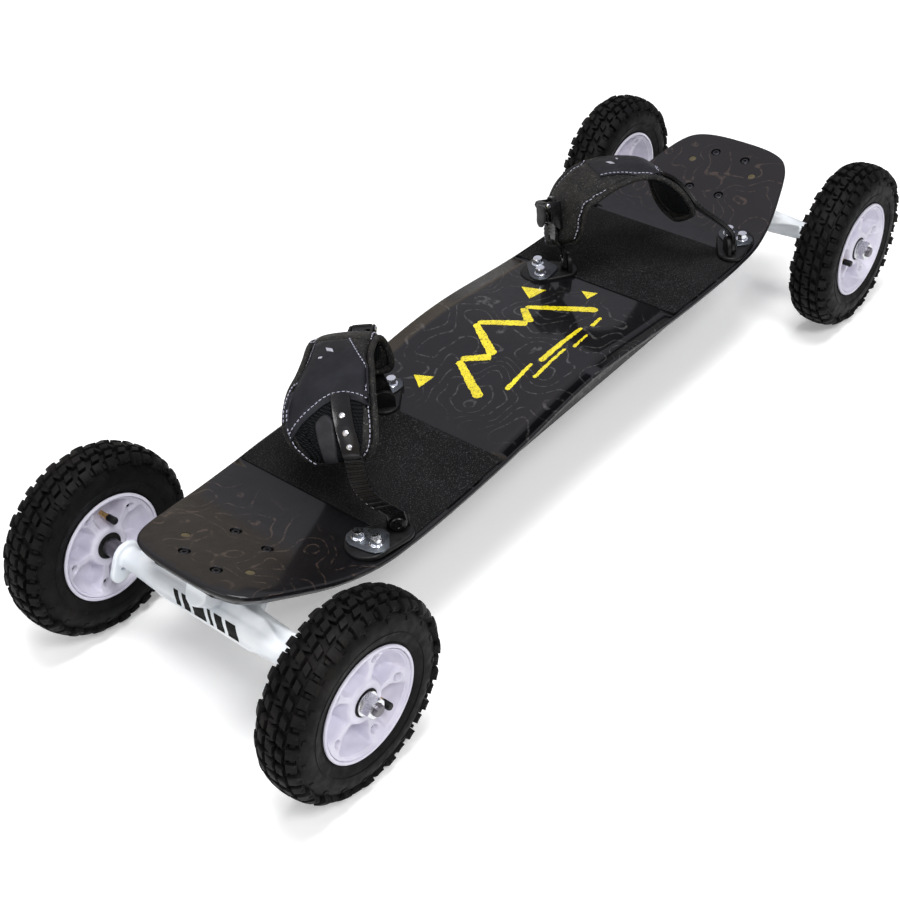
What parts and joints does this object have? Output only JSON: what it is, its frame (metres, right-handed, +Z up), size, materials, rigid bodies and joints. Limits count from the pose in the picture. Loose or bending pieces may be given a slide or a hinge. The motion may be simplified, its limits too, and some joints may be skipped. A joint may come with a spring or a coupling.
{
  "type": "mountainboard",
  "caption": "All-terrain board: black laminated deck with upturned tips, steering trucks, knobby air tyres and ratchet foot bindings.",
  "frame": {"origin": "on the ground under the middle of the deck, centre of the part's footprint", "axes": "+X along the deck to its far end, +Y to the riders' toe edge, +Z up"},
  "size_m": [1.094, 0.4036, 0.2566],
  "materials": {
    "deck": "lacquered laminate",
    "grip": "gritty tape",
    "cast_white": "white powder coat",
    "steel": "zinc plated",
    "black_steel": "black oxide",
    "bushing": "moulded",
    "tyre": "knobby rubber",
    "hub": "moulded nylon",
    "pad": "stitched synthetic leather",
    "strap": "moulded"
  },
  "bodies": {
    "board": {"deck": "deck", "grip_near": "grip", "grip_far": "grip", "truck_base_near": "cast_white", "kingpin_near": "steel", "kingpin_nut_near": "steel", "bushing_upper_near": "bushing", "bushing_lower_near": "bushing", "truck_bolt_near_1": "black_steel", "truck_bolt_near_2": "black_steel", "truck_bolt_near_3": "black_steel", "truck_bolt_near_4": "black_steel", "foot_inboard_near": "strap", "foot_outboard_near": "strap", "truck_base_far": "cast_white", "kingpin_far": "steel", "kingpin_nut_far": "steel", "bushing_upper_far": "bushing", "bushing_lower_far": "bushing", "truck_bolt_far_1": "black_steel", "truck_bolt_far_2": "black_steel", "truck_bolt_far_3": "black_steel", "truck_bolt_far_4": "black_steel", "foot_inboard_far": "strap", "foot_outboard_far": "strap"},
    "hanger_near": {"hanger_near": "cast_white", "axle_near": "steel", "axle_nut_near_left": "steel", "axle_nut_near_right": "steel"},
    "wheel_near_left": {"tyre_near_left": "tyre", "hub_outer_near_left": "hub", "hub_inner_near_left": "hub", "bearing_near_left": "black_steel"},
    "wheel_near_right": {"tyre_near_right": "tyre", "hub_outer_near_right": "hub", "hub_inner_near_right": "hub", "bearing_near_right": "black_steel"},
    "hanger_far": {"hanger_far": "cast_white", "axle_far": "steel", "axle_nut_far_left": "steel", "axle_nut_far_right": "steel"},
    "wheel_far_left": {"tyre_far_left": "tyre", "hub_outer_far_left": "hub", "hub_inner_far_left": "hub", "bearing_far_left": "black_steel"},
    "wheel_far_right": {"tyre_far_right": "tyre", "hub_outer_far_right": "hub", "hub_inner_far_right": "hub", "bearing_far_right": "black_steel"},
    "binding_near": {"pad_near": "pad", "strap_outboard_near": "strap", "ladder_strap_near": "strap", "buckle_near": "strap"},
    "lever_near": {"buckle_lever_near": "strap"},
    "binding_far": {"pad_far": "pad", "strap_outboard_far": "strap", "ladder_strap_far": "strap", "buckle_far": "strap"},
    "lever_far": {"buckle_lever_far": "strap"}
  },
  "joints": [
    {"name": "steer_near", "type": "hinge", "parent": "board", "child": "hanger_near", "pos_m": [-0.43649, 0, 0.1107], "axis": [-0.7133, 0, 0.7009], "range_deg": [-12, 12], "stiffness_Nm_per_rad": 60, "deforming": ["bushing_upper_near", "bushing_lower_near"]},
    {"name": "wheel_spin_near_left", "type": "hinge", "parent": "hanger_near", "child": "wheel_near_left", "pos_m": [-0.447, 0.1675, 0.1], "axis": [0, 1, 0], "continuous": true},
    {"name": "wheel_spin_near_right", "type": "hinge", "parent": "hanger_near", "child": "wheel_near_right", "pos_m": [-0.447, -0.1675, 0.1], "axis": [0, 1, 0], "continuous": true},
    {"name": "steer_far", "type": "hinge", "parent": "board", "child": "hanger_far", "pos_m": [0.43649, 0, 0.1107], "axis": [0.7133, 0, 0.7009], "range_deg": [-12, 12], "stiffness_Nm_per_rad": 60, "deforming": ["bushing_upper_far", "bushing_lower_far"]},
    {"name": "wheel_spin_far_left", "type": "hinge", "parent": "hanger_far", "child": "wheel_far_left", "pos_m": [0.447, 0.1675, 0.1], "axis": [0, 1, 0], "continuous": true},
    {"name": "wheel_spin_far_right", "type": "hinge", "parent": "hanger_far", "child": "wheel_far_right", "pos_m": [0.447, -0.1675, 0.1], "axis": [0, 1, 0], "continuous": true},
    {"name": "binding_swing_near", "type": "hinge", "parent": "board", "child": "binding_near", "pos_m": [-0.227, -0.027, 0.15], "axis": [-0.7071, -0.7071, 0], "range_deg": [-25, 25]},
    {"name": "buckle_lift_near", "type": "hinge", "parent": "binding_near", "child": "lever_near", "pos_m": [-0.14946, 0.07143, 0.21746], "axis": [0.4592, -0.8727, 0.1661], "range_deg": [0, 70]},
    {"name": "binding_swing_far", "type": "hinge", "parent": "board", "child": "binding_far", "pos_m": [0.227, -0.027, 0.15], "axis": [0.7071, -0.7071, 0], "range_deg": [-25, 25]},
    {"name": "buckle_lift_far", "type": "hinge", "parent": "binding_far", "child": "lever_far", "pos_m": [0.15098, 0.06672, 0.21936], "axis": [0.3742, 0.8579, -0.352], "range_deg": [0, 70]}
  ]
}
